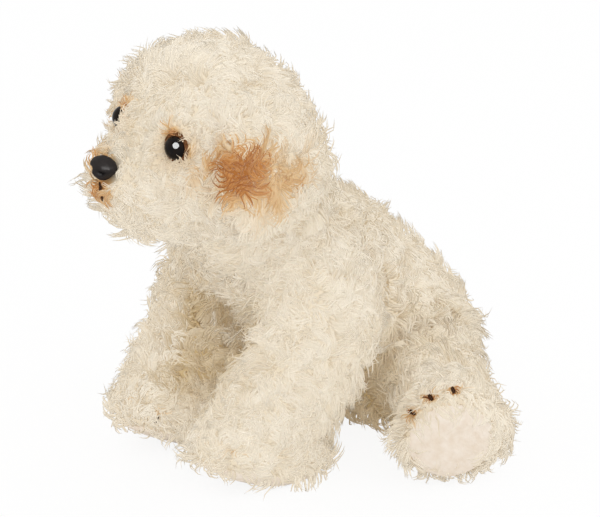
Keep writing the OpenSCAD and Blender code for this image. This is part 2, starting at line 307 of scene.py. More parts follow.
def makeSatin(name, look):
    material, tree, shader = newMaterial(name, look["finish"])
    grain = addNoise(tree, *look["grain"])
    # painted shade: darker in the nostrils and the groove
    feed(shader["Base Color"], addRamp(readAttribute(tree, "pitShade"), (0.0, look["pale"]), (0.7, look["deep"])))
    feed(shader["Roughness"], addRamp(grain, *look["rough"]))
    addBump(shader, grain, *look["bump"])
    return material


# the backing is painted darker, as the shade deep in the pile
deepPileShade = [low + (high - low) * plush["backingShade"] for low, high in zip(plush["paintedShade"], plush["crest"])]
curlyPile = makePlush("curlyPile", "toneAndShade", plush["paintedShade"], plush["crest"], plush["pileFinish"])
pileBacking = makePlush("pileBacking", "paintedShade", deepPileShade, plush["paintedShade"], plush["backingFinish"])
velour = makeMottled("velour", {
    "deep": (0.78, 0.665, 0.54), "pale": (0.86, 0.77, 0.67),
    "cloud": (190.0, 3.0),  # scale, detail
    "nap": (520.0, 4.0),
    "bump": (0.5, 0.001),  # strength, height
    "finish": (0.85, 0.0, 0.3, 0.4),
})
glossEye = makeMottled("glossEye", {
    "deep": (0.006, 0.005, 0.005), "pale": (0.016, 0.009, 0.006),
    "cloud": (220.0, 2.0),
    "stops": (0.35, 0.75),
    "finish": (0.05, 0.08),
})
brownFelt = makeMottled("brownFelt", {
    "deep": (0.08, 0.032, 0.014), "pale": (0.24, 0.105, 0.045),
    "cloud": (900.0, 4.0),
    "nap": (900.0, 4.0),
    "bump": (0.5, 0.0004),
    "finish": (0.95, 0.0),
})
whitePlastic = makeMottled("whitePlastic", {
    "deep": (0.78, 0.78, 0.76), "pale": (0.86, 0.86, 0.84),
    "cloud": (140.0, 2.0),
    "finish": (0.45, 0.1),
})
satinNose = makeSatin("satinNose", {
    # pale is the nose's own colour; deep is the painted shade in the nostrils and the groove
    "deep": (0.006, 0.005, 0.005), "pale": (0.027, 0.023, 0.022),
    "grain": (520.0, 3.0),
    "rough": [(0.3, (0.36, 0.36, 0.36)), (0.7, (0.52, 0.52, 0.52))],
    "bump": (0.25, 0.0004),
    "finish": (0.5, 0.015),
})
thread = {"scale": 420.0, "distortion": 1.5, "directions": ("DIAGONAL",), "stops": (0.2, 0.8), "bump": (0.4, 0.0003),
          "finish": (0.8, 0.0)}
weave = {"scale": 300.0, "distortion": 0.0, "directions": ("X", "Z"), "stops": (0.1, 0.7), "bump": (0.3, 0.0004),
         "finish": (0.85, 0.0)}
brownThread = makeBanded("brownThread", thread, (0.026, 0.013, 0.008), (0.09, 0.046, 0.027))
creamThread = makeBanded("creamThread", thread, (0.62, 0.52, 0.38), (0.82, 0.74, 0.6))
canvas = makeBanded("canvas", weave, (0.52, 0.46, 0.34), (0.7, 0.64, 0.5))
print("materials mixed")


# trees that grow pile and wind thread
def attribute(tree, name, kind="FLOAT"):
    return addNode(tree, "GeometryNodeInputNamedAttribute", {"Name": name}, data_type=kind).outputs[0]


def stored(geometry, name, value, kind="FLOAT", domain="POINT"):
    inputs = {"Geometry": geometry, "Name": name, "Value": value}
    node = addNode(geometry.id_data, "GeometryNodeStoreNamedAttribute", inputs, data_type=kind, domain=domain)
    return node.outputs["Geometry"]


def newTree(name, values):
    tree = bpy.data.node_groups.new(name, "GeometryNodeTree")
    kinds = {key: type(value).__name__.title() for key, value in values.items()}  # Float or Int
    for key, kind in {"Geometry": "Geometry", **kinds, "Material": "Material"}.items():
        tree.interface.new_socket(name=key, in_out="INPUT", socket_type="NodeSocket" + kind)
    tree.interface.new_socket(name="Geometry", in_out="OUTPUT", socket_type="NodeSocketGeometry")
    return tree, tree.nodes.new("NodeGroupInput").outputs


def finishTree(geometry, material):
    paint = addNode(geometry.id_data, "GeometryNodeSetMaterial", {"Geometry": geometry, "Material": material})
    addNode(geometry.id_data, "NodeGroupOutput", {"Geometry": paint})


def evaluatedMesh(piece):
    depsgraph = bpy.context.evaluated_depsgraph_get()
    return bpy.data.meshes.new_from_object(piece.evaluated_get(depsgraph), depsgraph=depsgraph)


def grown(piece, tree, values):
    grow = piece.modifiers.new("grow", "NODES")
    grow.node_group = tree
    for item in tree.interface.items_tree:
        if item.in_out == "INPUT" and item.name in values:
            grow[item.identifier] = values[item.name]
    mesh = evaluatedMesh(piece)
    piece.modifiers.remove(grow)
    return mesh


pile = {  # by the names of the tree's inputs
    "Hairs Per Area": 300000.0,  # each square metre
    "Pile Length": 0.0175,
    "Root Radius": 0.00085,
    "Curl": 2.0,  # radians from root to tip
    "Wave": 0.24,  # share of the length
    "Lock Size": 0.0056,
    "Lock Pull": 0.85,
    "Drop": 0.5,
    "Soft Light": 0.2,  # share of the cover's own normal
    "Seed": 0,
}
hair = {  # fixed inside the tree
    "sides": 3, "rings": 5,
    "lowest": 0.0006,  # no hair goes below this height
    "swirlScale": 26.0,
    "lockLean": 2.4,  # what a hair leans by
    "swirlLean": 4.0, "strayLean": 0.3,
    "length": (0.86, 1.06),  # from and to, drawn for each hair
    "tint": (0.84, 1.12), "bend": (-0.2, 0.2),
    "bright": (-0.05, 0.05), "phase": (-0.5, 0.5),
    "lockLength": (0.5, 0.75),  # factor and start, for each lock
    "lockBend": (0.9, 0.55),
    "lockPhase": 6.28, "lockBright": 0.42,
    # painted shade at the rim of each lock; the swirl's brightness differs at random
    "rimShade": -0.75, "swirlBright": 0.5,
    # how far the painted shade of the cover darkens the hairs
    "hollowShade": 0.6,
    "waves": 5.2,  # radians from root to tip
    "rootShade": (0.42, 0.58),  # painted shade, darker towards the roots: factor and start, from root to tip
    "tipTint": (0.3, 0.82), "toneRange": (0.36, 0.62),
    "chartTint": (0.96, 0.02),  # place on the chart
    "chartTone": (0.9, 0.05), "chartWidth": 0.012,
}


def makePileTree():
    tree, given = newTree("growCurlyPile", pile)

    def seedPlus(step):
        return number("ADD", given["Seed"], step)

    def drawn(name, step):
        inputs = {2: hair[name][0], 3: hair[name][1], "Seed": seedPlus(step)}
        return addNode(tree, "FunctionNodeRandomValue", inputs, data_type="FLOAT").outputs[1]

    def alongCover(value):
        return vector("SUBTRACT", value, scaled(normal, vector("DOT_PRODUCT", value, normal)))

    # roots, one lock of hair for each cell
    spread = addNode(tree, "GeometryNodeDistributePointsOnFaces", {
        "Mesh": given["Geometry"],
        "Density": product(given["Hairs Per Area"], attribute(tree, "thick")),
        "Seed": given["Seed"],
    }).outputs
    root = addNode(tree, "GeometryNodeInputPosition").outputs[0]
    normal = spread["Normal"]
    cellScale = number("DIVIDE", 1.0, given["Lock Size"])
    cell = addNode(tree, "ShaderNodeTexVoronoi", {"Vector": root, "Scale": cellScale}).outputs
    flow = addNode(tree, "ShaderNodeTexNoise", {"Vector": root, "Scale": hair["swirlScale"], "Detail": 1.0}).outputs
    lockRandom, swirl = (vector("SUBTRACT", found["Color"], (0.5, 0.5, 0.5)) for found in (cell, flow))
    stray = addNode(tree, "FunctionNodeRandomValue", {
        0: [-hair["strayLean"]] * 3, 1: [hair["strayLean"]] * 3, "Seed": seedPlus(11.0)}, data_type="FLOAT_VECTOR")
    comb = summed(
        scaled(lockRandom, hair["lockLean"]), scaled(swirl, hair["swirlLean"]),
        scaled(attribute(tree, "comb", "FLOAT_VECTOR"), given["Drop"]), stray.outputs[0])
    lockA, lockB, lockC = addNode(tree, "ShaderNodeSeparateXYZ", {0: cell["Color"]}).outputs
    facts = {
        "Root": root,
        "Normal": normal,
        "Lean": vector("NORMALIZE", alongCover(comb)),
        "Pull": scaled(alongCover(vector("SUBTRACT", cell["Position"], root)), given["Lock Pull"]),
        "Long": product(given["Pile Length"], attribute(tree, "pile"), drawn("length", 23.0),
                        mapped(lockC, *hair["lockLength"])),
        "Bend": total(product(given["Curl"], mapped(lockB, *hair["lockBend"])), drawn("bend", 37.0)),
        # brightness that differs at random by lock and hair, with painted shade at the rim of each lock
        "Bright": total(
            product(cell["Distance"], hair["rimShade"]), product(lockA, hair["lockBright"]),
            product(vector("DOT_PRODUCT", swirl, (1.0, 1.0, 1.0)), hair["swirlBright"]), drawn("bright", 51.0)),
        # painted shade in the creases, under the belly and between the legs
        "Shade": product(attribute(tree, "paintedShade"), hair["hollowShade"]),
        "Girth": product(given["Root Radius"], number("SQRT", number("MINIMUM", attribute(tree, "pile"), 1.0))),
        "Dye": product(attribute(tree, "tint"), drawn("tint", 83.0)),
        "Phase": mapped(lockA, hair["lockPhase"], drawn("phase", 67.0)),
    }
    points = spread["Points"]
    at = {}
    for name, value in facts.items():
        kind = "FLOAT_VECTOR" if value.type == "VECTOR" else "FLOAT"
        points = stored(points, "hair" + name, value, kind)
        at[name] = attribute(tree, "hair" + name, kind)

    # one slim cone for each hair
    cone = addNode(tree, "GeometryNodeMeshCone", {
        "Vertices": hair["sides"], "Side Segments": hair["rings"], "Radius Top": 0.0, "Radius Bottom": 1.0,
        "Depth": 1.0}, fill_type="NGON")
    place = addNode(tree, "GeometryNodeInstanceOnPoints", {"Points": points, "Instance": cone})
    real = addNode(tree, "GeometryNodeRealizeInstances", {"Geometry": place})

    # bend the cones into curls
    here = addNode(tree, "GeometryNodeInputPosition").outputs[0]
    local = addNode(tree, "ShaderNodeSeparateXYZ", {0: vector("SUBTRACT", here, at["Root"])})
    aside, ahead, along = local.outputs
    up, over = at["Normal"], at["Lean"]
    angle = product(at["Bend"], along)
    sine, cosine = number("SINE", angle), number("COSINE", angle)
    reach = number("DIVIDE", at["Long"], at["Bend"])
    wave = number("SINE", mapped(along, hair["waves"], at["Phase"]))
    girth = product(at["Girth"], number("ADD", 1.0, along))
    bent = addNode(tree, "ShaderNodeSeparateXYZ", {0: summed(
        at["Root"],
        scaled(up, product(reach, sine)),
        scaled(over, product(reach, number("SUBTRACT", 1.0, cosine))),
        scaled(at["Pull"], product(along, along)),
        scaled(vector("CROSS_PRODUCT", up, over), product(product(wave, along), product(given["Wave"], at["Long"]))),
        scaled(vector("CROSS_PRODUCT", over, up), product(aside, girth)),
        scaled(vector("SUBTRACT", scaled(over, cosine), scaled(up, sine)), product(ahead, girth)))}).outputs
    lifted = number("MAXIMUM", bent[2], hair["lowest"])
    curled = addNode(tree, "ShaderNodeCombineXYZ", {0: bent[0], 1: bent[1], 2: lifted})

    # painted shade and random tone of each hair, and where it lies on the colour chart
    toneAndShade = limited(total(mapped(along, *hair["rootShade"]), at["Bright"]))
    toneAndShade = number("SUBTRACT", mapped(toneAndShade, *hair["toneRange"]), at["Shade"])
    tint = product(at["Dye"], mapped(along, *hair["tipTint"]))
    shaded = stored(real.outputs["Geometry"], "toneAndShade", limited(toneAndShade))
    shaded = stored(shaded, "tint", limited(tint))
    chart = addNode(tree, "ShaderNodeCombineXYZ", {
        0: mapped(aside, hair["chartWidth"], mapped(attribute(tree, "tint"), *hair["chartTint"])),
        1: mapped(attribute(tree, "toneAndShade"), *hair["chartTone"])})
    charted = stored(shaded, "OFBake", chart, "FLOAT2", "CORNER")
    shift = addNode(tree, "GeometryNodeSetPosition", {"Geometry": charted, "Position": curled})
    smooth = addNode(tree, "GeometryNodeSetShadeSmooth", {"Geometry": shift})
    own = addNode(tree, "GeometryNodeInputNormal").outputs[0]
    soft = vector("NORMALIZE", vector("ADD", scaled(up, given["Soft Light"]), own))
    lit = addNode(tree, "GeometryNodeSetMeshNormal", {  # hairs take the light much as the cover does
        "Mesh": smooth, "Custom Normal": soft}, mode="FREE", domain="POINT")
    finishTree(lit.outputs["Mesh"], given["Material"])
    return tree


twist = {"Turns": 1.2, "Thickness": 0.62, "Strands": 3, "Steps": 15}  # thickness of a strand, as a share


def makeThreadTree():
    tree, given = newTree("twistThread", twist)
    path = addNode(tree, "GeometryNodeMeshToCurve", {"Mesh": given["Geometry"]})
    fine = addNode(tree, "GeometryNodeResampleCurve", {"Curve": path, "Count": given["Steps"]})
    copies = addNode(tree, "GeometryNodeDuplicateElements", {
        "Geometry": fine, "Amount": given["Strands"]}, domain="SPLINE").outputs

    # each copy winds round the straight stitch
    passed = addNode(tree, "GeometryNodeSplineParameter").outputs["Factor"]
    radius = attribute(tree, "stitchRadius")
    start = number("DIVIDE", copies["Duplicate Index"], given["Strands"])
    turn = product(2.0 * math.pi, mapped(passed, given["Turns"], start))
    across = addNode(tree, "GeometryNodeInputNormal").outputs["Normal"]
    third = vector("CROSS_PRODUCT", addNode(tree, "GeometryNodeInputTangent").outputs[0], across)
    spoke = summed(scaled(across, number("COSINE", turn)), scaled(third, number("SINE", turn)))
    wind = addNode(tree, "GeometryNodeSetPosition", {
        "Geometry": copies["Geometry"],
        "Offset": scaled(spoke, product(radius, number("SUBTRACT", 1.0, given["Thickness"])))})
    ring = addNode(tree, "GeometryNodeCurvePrimitiveCircle", {"Resolution": 6})
    swell = mapped(number("SINE", product(passed, math.pi)), 0.5, 0.5)
    strand = addNode(tree, "GeometryNodeCurveToMesh", {
        "Curve": wind,
        "Profile Curve": ring,
        "Scale": product(swell, product(radius, given["Thickness"])),
        "Fill Caps": True})
    real = addNode(tree, "GeometryNodeRealizeInstances", {"Geometry": strand})
    finishTree(real.outputs["Geometry"], given["Material"])
    return tree


pileTree = makePileTree()
threadTree = makeThreadTree()
print("trees built")


# meshes
def applied(piece):
    mesh = evaluatedMesh(piece)
    old = piece.data
    piece.modifiers.clear()
    piece.data = mesh
    bpy.data.meshes.remove(old)
    mesh.name = piece.name


def looseGroups(shell):
    met = set()
    groups = []
    for start in shell.verts:
        if start in met:
            continue
        met.add(start)
        group = [start]
        for vert in group:  # grows while it is walked
            for link in vert.link_edges:
                other = link.other_vert(vert)
                if other not in met:
                    met.add(other)
                    group.append(other)
        groups.append(group)
    return groups


def keepLargest(shell):
    groups = looseGroups(shell)
    groups.sort(key=lambda group: -np.ptp([vert.co for vert in group], axis=0).max())
    for group in groups[1:]:
        bmesh.ops.delete(shell, geom=group, context="VERTS")


def shellOf(mesh):
    shell = bmesh.new()
    shell.from_mesh(mesh)
    return shell


def written(shell, mesh):
    shell.to_mesh(mesh)
    shell.free()
    return mesh


def painted(mesh, material):
    mesh.materials.clear()
    mesh.materials.append(material)
    mesh.shade_smooth()


def newPiece(name, mesh, material):
    piece = linked(name, mesh)
    painted(mesh, material)
    return piece


def cadCopy(*sources):
    joined = bmesh.new()
    for source in sources:
        joined.from_mesh(nodes[source].data)
    bmesh.ops.remove_doubles(joined, verts=joined.verts, dist=1e-5)
    return joined


def relax(shell, verts):
    bmesh.ops.smooth_vert(shell, verts=verts, factor=0.5, use_axis_x=True, use_axis_y=True, use_axis_z=True)


def smoothed(piece, passes):
    shell = shellOf(piece.data)
    for _ in range(passes):
        relax(shell, shell.verts)
    written(shell, piece.data)


def outerSkin(name, sources, setup, material):
    skin = newPiece(name, written(cadCopy(*sources), bpy.data.meshes.new(name)), material)
    remesh = skin.modifiers.new("remesh", "REMESH")
    remesh.mode = "VOXEL"
    remesh.voxel_size = setup["voxel"]
    applied(skin)
    shell = shellOf(skin.data)
    keepLargest(shell)
    bmesh.ops.recalc_face_normals(shell, faces=shell.faces)
    written(shell, skin.data)
    smoothed(skin, setup["passes"])
    painted(skin.data, material)
    return skin


def subdivided(piece):
    finer = piece.modifiers.new("finer", "SUBSURF")
    finer.levels = 1
    finer.render_levels = 1
    applied(piece)
    piece.data.shade_smooth()


def meshPoints(mesh):
    found = []
    for field in ("co", "normal"):
        values = np.zeros(len(mesh.vertices) * 3)
        mesh.vertices.foreach_get(field, values)
        found.append(values.reshape(-1, 3))
    return found


def setPoints(mesh, points):
    mesh.vertices.foreach_set("co", points.astype(np.float32).ravel())
    mesh.update()


def setAttribute(mesh, name, values):
    kind = "FLOAT_VECTOR" if values.ndim == 2 else "FLOAT"
    layer = mesh.attributes.get(name) or mesh.attributes.new(name, kind, "POINT")
    layer.data.foreach_set("vector" if values.ndim == 2 else "value", values.astype(np.float32).ravel())


def puffUp(pieces, setup):
    starts = []
    for piece in pieces:
        starts.append(meshPoints(piece.data)[0])
        cloth = piece.modifiers.new("puff", "CLOTH")
        cloth.settings.quality = 4
        cloth.settings.use_pressure = True
        cloth.settings.uniform_pressure_force = setup["pressure"]
        cloth.settings.effector_weights.gravity = 0.0
        cloth.point_cache.frame_start = 1
        cloth.point_cache.frame_end = setup["frames"]
    for frameNumber in range(1, setup["frames"] + 1):
        scene.frame_set(frameNumber)
    for piece, start in zip(pieces, starts):
        applied(piece)
        moves = meshPoints(piece.data)[0] - start
        length = np.linalg.norm(moves, axis=1, keepdims=True)
        moves *= np.minimum(1.0, setup["cap"] / np.maximum(length, 1e-9))
        swollen = start + moves
        swollen[:, 2] = np.maximum(swollen[:, 2], np.minimum(start[:, 2], setup["lowest"]))
        setPoints(piece.data, swollen)
    scene.frame_set(1)


# fields over a skin's points
def smoothStep(values):
    share = np.clip(values, 0.0, 1.0)
    return share * share * (3.0 - 2.0 * share)


def rising(values, start, width):
    return smoothStep((values - start) / width)


def falling(values, start, width):
    return smoothStep((start - values) / width)


def blend(first, second, share):
    return first + (second - first) * share


def cloudy(points, scale, shift):
    return np.array([noise.noise(Vector(point) * scale + Vector((shift, shift, shift))) for point in points])


def middleOf(node):
    low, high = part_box(node)
    return (np.array(low) + np.array(high)) / 2


def distances(points, centre):
    return np.linalg.norm(points - centre, axis=1)


def near(points, centre, reach, edge):
    return falling(distances(points, centre), reach, edge)


def unit(vectors):
    return vectors / np.maximum(np.linalg.norm(vectors, axis=-1, keepdims=True), 1e-9)


def towardsNearest(points, others):
    tree = kdtree.KDTree(len(others))
    for index, other in enumerate(others):
        tree.insert(other, index)
    tree.balance()
    return np.array([tree.find(point)[0] for point in points]) - points


def nearness(points, others, reach):
    return smoothStep(1.0 - np.linalg.norm(towardsNearest(points, others), axis=1) / reach)


def coveredBy(points, normals, others, reach, facing):
    towards = towardsNearest(points, others)
    straight = np.sum(unit(towards) * normals, axis=1)
    return rising(straight, *facing) * smoothStep(2.0 - 2.0 * np.linalg.norm(towards, axis=1) / reach)


def looseParts(node):
    shell = cadCopy(node)
    parts = [np.array([vert.co for vert in group]) for group in looseGroups(shell)]
    shell.free()
    return parts


def dressPiece(piece, body, replaced=()):
    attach(piece, body)
    if replaced:
        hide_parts(*replaced)


# where the pile is cut short, and where the dye was sprayed
face = {
    "noseAhead": 0.008,  # nose's front, from its middle
    "eyeBare": 0.0053,  # no hair nearer to an eye's middle
    "bareEdge": 0.002,
    "leftEyeShift": 0.0032,  # bare patch's middle, towards the nose
    "rightEyeShift": -0.0025,
    "farEyeClosed": 0.0006,  # bare patch of the right eye, smaller by this
    "eyeShort": 0.023,  # short hair as far as here
    "noseBare": 0.01, "noseShort": 0.032,
    "eyeLength": 0.28,  # share of the full length
    "noseLength": 0.5, "chinLength": 0.92,
    "chinFacing": (-0.1, 0.4),  # start and width, as in every pair
    "jawLength": 0.12,  # added under the jaw
    "jawFacing": (-0.6, 0.3),
    "bridgeLength": 0.62,  # between the nose and the right eye
    "bridgeAside": 0.011, "bridgePatch": (0.012, 0.005),
    "farMuzzleLength": 0.25,  # added on the side of the muzzle that the photo shows in outline
    "farMuzzleSide": (0.0, 0.008), "farMuzzlePatch": (0.03, 0.01),
    "eyeCombed": (0.018, 0.008),
    "eyeComb": 12.0,  # away from the eye
    "nearComb": 20.0,  # less by this on the photo's side of the eye
    "nearFrom": 0.3, "nearEdge": 0.005,
    "eyeShallow": (0.022, 0.012), "noseShallow": (0.026, 0.012),
    "shallowDepth": 0.0035,
}
dye = {
    "earCentre": (0.0704, -0.164, 0.2),
    "earHalf": (0.03, 0.0365, 0.0225),
    "earStrength": 0.73,
    "earEdge": (1.25, 1.1),  # in halves of the patch
    "earClouds": ((60.0, 3.0, 0.45), (150.0, 9.0, 0.22)),  # scale, shift, share
    "farShift": (0.0, 0.022, 0.0),
    "farShare": 0.75,
    "headAhead": 0.01,  # patch on the head itself, further forward
    # strength, reach, soft edge, and the way outward, up and ahead from the eye, mouth or nose
    "eye": (0.09, 0.017, 0.008, (0.0, 0.0, 0.0)),
    "brow": (0.6, 0.0075, 0.004, (-0.004, 0.008, 0.0)),
    "lash": (0.35, 0.005, 0.002, (0.0078, 0.0, -0.002)),
    "mouth": (0.62, 0.0125, 0.009, (0.0, 0.004, 0.0)),
    "bridge": (0.5, 0.013, 0.008, (-0.008, 0.002, 0.0)),
    "front": (0.3, 0.0042, 0.0025),  # claws
    "hind": (1.15, 0.0042, 0.0025),
}
eyes = {side: middleOf(f"{side}_eye_rim") for side in sides}
headAcross = unit(eyes["left"] - eyes["right"])
headAhead = unit(np.cross((0.0, 0.0, 1.0), headAcross)) * -1.0
headUp = np.cross(headAhead, headAcross)
headMiddle = middleOf("head_stuffing")
noseMiddle = middleOf("nose") + headAhead * face["noseAhead"]
mouthMiddle = middleOf("mouth_stitch")
claws = [part.mean(axis=0) for end, side in legs for part in looseParts(f"{end}_{side}_claws")]
print("claw stitches found:", len(claws))


def sprayedEars(points, ahead=0.0):
    tint = np.zeros(len(points))
    rough = sum(cloudy(points, scale, shift) * share for scale, shift, share in dye["earClouds"])
    for side in sides:
        centre, half = dye["earCentre"] + headAhead * ahead, np.array(dye["earHalf"])
        if side == "right":
            centre = middleOf("right_ear") + (centre - middleOf("left_ear")) * (-1.0, 1.0, 1.0)
            centre, half = centre + dye["farShift"], half * dye["farShare"]
        away = np.linalg.norm((points - centre) / half, axis=1)
        tint = np.maximum(tint, dye["earStrength"] * falling(away - rough, *dye["earEdge"]))
    return tint


def sprayedFace(points):
    dabs = [(eyes[side], outward, name) for side, outward in sides.items() for name in ("eye", "brow", "lash")]
    dabs += [(mouthMiddle, 1.0, "mouth"), (noseMiddle, 1.0, "bridge")]
    tint = np.zeros(len(points))
    for middle, outward, name in dabs:
        strength, reach, edge, (out, up, ahead) = dye[name]
        centre = middle + headUp * up + headAcross * outward * out + headAhead * ahead
        tint = np.maximum(tint, strength * near(points, centre, reach, edge))
    return tint


def sprayedClaws(points, end):
    strength, reach, edge = dye[end]
    return np.max([strength * near(points, claw, reach, edge) for claw in claws], axis=0)


cover = {
    "depth": 0.0105,  # the pile's roots lie this far inside the solid's surface
    "passes": 4,
    "underFacing": (-0.8, 0.2),  # no pile to sit on
    "underHeight": (0.02, 0.02),
    "seamReach": 0.022,  # pile grows longer this near to the next body
    "seamLength": {"front": 0.55, "hind": 0.22},
    # painted shade in the crease beside each leg
    "seamShade": {"front": 0.08, "hind": 0.26},
    "seamRise": {"front": 0.0075, "hind": 0.0055},  # and its roots lie this much higher
}


def finishSkin(skin, depth, thick=1.0, length=1.0, tint=0.0, comb=(0.0, 0.0, -1.0), paintedShade=0.0):
    points, normals = meshPoints(skin.data)
    count = len(points)
    above = np.maximum(rising(normals[:, 2], *cover["underFacing"]), rising(points[:, 2], *cover["underHeight"]))
    setPoints(skin.data, points - normals * (np.zeros(count) + depth)[:, None])
    smoothed(skin, cover["passes"])
    setAttribute(skin.data, "thick", above * thick / np.sqrt(np.minimum(length, 1.0)))
    setAttribute(skin.data, "comb", np.zeros((count, 3)) + comb)
    # the third of these carries the painted shade
    for name, values in (("pile", length), ("tint", tint), ("paintedShade", paintedShade)):
        setAttribute(skin.data, name, np.zeros(count) + values)


hairCount = [0]


def coverWithPile(skin, body, setup, replaced, seedStep=0):
    share, girth = ((1.0, 1.0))
    for layer in range(setup["layers"]):
        mesh = grown(skin, pileTree, {
            **pile,
            "Hairs Per Area": pile["Hairs Per Area"] / setup["layers"] * share,
            "Pile Length": setup.get("pileLength", pile["Pile Length"]),
            "Root Radius": pile["Root Radius"] * girth,
            "Seed": setup["seed"] + seedStep + layer,
            "Material": curlyPile,
        })
        for name in [each.name for each in mesh.attributes]:
            if name.startswith("hair") or name in ("thick", "pile", "comb", "paintedShade"):
                mesh.attributes.remove(mesh.attributes[name])
        fur = linked(f"{skin.name}Pile{layer + 1}", mesh)
        mesh.name = fur.name
        fur.visible_shadow = False  # fine pile lets the light through
        fur.visible_diffuse = False
        dressPiece(fur, body)
        hairCount[0] += len(mesh.vertices) // (hair["sides"] * hair["rings"] + 1)
    dressPiece(skin, body, replaced)


# skins of the stuffed covers
torso = {
    "voxel": 0.0045, "passes": 4, "layers": 4, "seed": 100, "fill": 0.8,
    "bibLength": 0.35, "bibAhead": (-0.08, 0.02), "bibBelow": (0.15, 0.03),
    # painted shade under the chest and belly
    "bellyShade": 0.85, "bellyAhead": (0.01, 0.02), "bellyBelow": (0.085, 0.03),
}
neck = {"voxel": 0.004, "passes": 2, "layers": 2, "seed": 200, "fill": 0.7, "pileLength": 0.02, "depth": 0.002,
        "spread": 1.12}
head = {
    "voxel": 0.0032, "passes": 4, "layers": 4, "seed": 300, "fill": 0.85,
    "crownDepth": 0.0035, "crownFacing": (0.0, 0.5),
    "templeDepth": 0.0065, "templeOut": 0.02, "templeBack": 0.014, "templePatch": (0.03, 0.02),
    "napeDepth": 0.001, "napeLength": 0.25, "napeFacing": (0.2, 0.3), "napeBelow": (0.207, 0.014),
    "noseComb": 0.7, "dropComb": (0.0, 0.0, -0.4),
}
ear = {
    "voxel": 0.0026, "passes": 3, "layers": 2, "seed": 400, "fill": 0.4, "pileLength": 0.0165,
    "depth": 0.002, "depthFacing": (-0.5, 0.6), "pileFacing": (-0.92, 0.3),
    "sink": 0.007, "frontSink": 0.011, "frontEdge": 0.03, "frontLength": 0.55,
    "rimComb": 1.4, "dropComb": (0.0, 0.0, -0.8), "frontComb": 3.0, "edgeComb": 3.0,
    "reach": 0.016, "bedDepth": 0.0075, "bedFacing": (0.75, 0.2),  # on the head beside it
}
leg = {
    "voxel": 0.004, "passes": 4, "layers": 2, "seed": 500, "fill": 0.85,
    "hindDepth": 0.0085, "padDepth": 0.002, "padFill": 0.6,
    # painted shade on the inner sides of the legs, where they face each other
    "innerShade": 0.85, "innerFacing": (0.25, 0.4), "innerBelow": (0.125, 0.03), "innerAbove": (0.03, 0.025),
    "clawDepth": {"front": 0.0085, "hind": 0.004}, "clawLength": {"front": 0.8, "hind": 0.42},
    "clawClear": (0.003, 0.012),
}
tail = {"voxel": 0.003, "passes": 3, "layers": 1, "seed": 600, "fill": 0.8, "depth": 0.004, "length": 0.8}
torsoSkin = outerSkin("torsoSkin", ["torso_cover", "torso_stuffing"], torso, pileBacking)
headSkin = outerSkin("headSkin", ["head_cover", "head_stuffing"], head, pileBacking)
tailSkin = outerSkin("tailSkin", ["tail_cover", "tail_stuffing"], tail, pileBacking)
neckSkin = outerSkin("neckSkin", ["neck_wad"], neck, pileBacking)
legSkins = {}
for end, side in legs:
    sources = [f"{end}_{side}_leg_cover", f"{end}_{side}_leg_stuffing", f"{end}_{side}_sole"]
    legSkins[end, side] = outerSkin(f"{end}{side.title()}LegSkin", sources, leg, pileBacking)
earSkins = {side: outerSkin(f"{side}EarSkin", [f"{side}_ear"], ear, pileBacking) for side in sides}
torsoPoints = meshPoints(torsoSkin.data)[0]
headPoints, headNormals = meshPoints(headSkin.data)
legPoints = {key: meshPoints(skin.data)[0] for key, skin in legSkins.items()}
print("covers remeshed")

# torso
seams = {}
for end in ("front", "hind"):
    bothLegs = np.concatenate([legPoints[end, side] for side in sides])
    seams[end] = nearness(torsoPoints, bothLegs, cover["seamReach"])
# the creases beside the legs get painted shade, longer pile and higher roots
seamRise, seamShade, seamLength = (np.maximum(*(cover[key][end] * seams[end] for end in seams))
                                    for key in ("seamRise", "seamShade", "seamLength"))
lengthwise, height = torsoPoints[:, 1], torsoPoints[:, 2]
bib = falling(lengthwise, *torso["bibAhead"]) * falling(height, *torso["bibBelow"])
# painted shade under the chest and belly
belly = falling(height, *torso["bellyBelow"]) * falling(lengthwise, *torso["bellyAhead"])
finishSkin(torsoSkin, cover["depth"] - seamRise, length=1.0 + seamLength + torso["bibLength"] * bib,
           paintedShade=np.maximum(seamShade, torso["bellyShade"] * belly))
coverWithPile(torsoSkin, "torso", torso, ("torso_cover", "torso_stuffing"))
print("torso covered")

# neck
neckPoints = meshPoints(neckSkin.data)[0]
neckMiddle = middleOf("neck_wad")
setPoints(neckSkin.data, neckMiddle + (neckPoints - neckMiddle) * (neck["spread"], neck["spread"], 1.0))
finishSkin(neckSkin, neck["depth"])
coverWithPile(neckSkin, "neck", neck, ("neck_wad",))

# head
bareEyes = [eyes["left"] - headAcross * face["leftEyeShift"], eyes["right"] + headAcross * face["rightEyeShift"]]
eyeAway = np.minimum(distances(headPoints, bareEyes[0]), distances(headPoints, bareEyes[1]) + face["farEyeClosed"])
noseAway = distances(headPoints, noseMiddle)
upward = headNormals[:, 2]
headLength = np.minimum(blend(face["eyeLength"], 1.0, rising(eyeAway, face["eyeBare"], face["eyeShort"])),
                        blend(face["noseLength"], 1.0, rising(noseAway, face["noseBare"], face["noseShort"])))
farMuzzle = rising((noseMiddle - headPoints) @ headAcross, *face["farMuzzleSide"])
farMuzzle *= falling(noseAway, *face["farMuzzlePatch"])
headLength += face["farMuzzleLength"] * farMuzzle
chin, jaw = falling(upward, *face["chinFacing"]), falling(upward, *face["jawFacing"])
headLength *= blend(1.0, face["chinLength"], chin) + face["jawLength"] * jaw
bridge = eyes["right"] + headAcross * face["bridgeAside"]
headLength = np.maximum(headLength, face["bridgeLength"] * near(headPoints, bridge, *face["bridgePatch"]))
headThick = (rising(eyeAway, face["eyeBare"], face["bareEdge"])
             * rising(noseAway, face["noseBare"], face["bareEdge"]))
headComb = unit(headPoints - noseMiddle) * head["noseComb"] + head["dropComb"]
headDepth = cover["depth"] + head["crownDepth"] * rising(upward, *head["crownFacing"])
